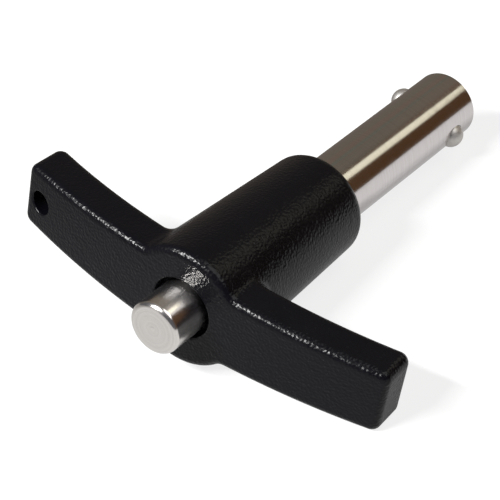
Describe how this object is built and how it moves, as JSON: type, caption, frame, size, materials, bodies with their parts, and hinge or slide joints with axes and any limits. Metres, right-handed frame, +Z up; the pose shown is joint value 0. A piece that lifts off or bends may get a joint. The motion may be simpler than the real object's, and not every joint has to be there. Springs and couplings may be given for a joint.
{
  "type": "ball lock pin",
  "caption": "Push-button lock pin with a cast T-handle: a tapered barrel with swept arms, a ground steel shank, and balls near its tip that retract.",
  "frame": {"origin": "on the table, under the middle of the bounding box of the pin as it lies at rest", "axes": "+Y runs from the push button towards the tip, +X towards the arm that touches the table, +Z up. The pin axis leans 2.43 degrees down towards the tip"},
  "size_m": [0.0744, 0.09, 0.0225],
  "materials": {
    "handle_coat": "satin",
    "ground_steel": "polished",
    "turned_steel": "satin",
    "ball_steel": "polished",
    "spring_wire": "satin"
  },
  "bodies": {
    "pin_body": {"handle": "handle_coat", "shank": "ground_steel", "return_spring": "spring_wire"},
    "plunger": {"button": "turned_steel", "spindle": "turned_steel"},
    "right_ball": {"lock_ball_right": "ball_steel"},
    "left_ball": {"lock_ball_left": "ball_steel"}
  },
  "joints": [
    {"name": "button_press", "type": "slide", "parent": "pin_body", "child": "plunger", "axis": [0, 0.9991, -0.0424], "range_m": [0, 0.004], "stiffness_N_per_m": 470, "springref_m": -0.0053, "deforming": ["return_spring"]},
    {"name": "right_ball_retract", "type": "slide", "parent": "pin_body", "child": "right_ball", "axis": [-0.9599, 0.0119, 0.2801], "range_m": [0, 0.00159]},
    {"name": "left_ball_retract", "type": "slide", "parent": "pin_body", "child": "left_ball", "axis": [0.9599, -0.0119, -0.2801], "range_m": [0, 0.00159]}
  ],
  "couplings": [
    {"joint": "right_ball_retract", "follows": "button_press", "ratio": 0.3975},
    {"joint": "left_ball_retract", "follows": "button_press", "ratio": 0.3975}
  ]
}
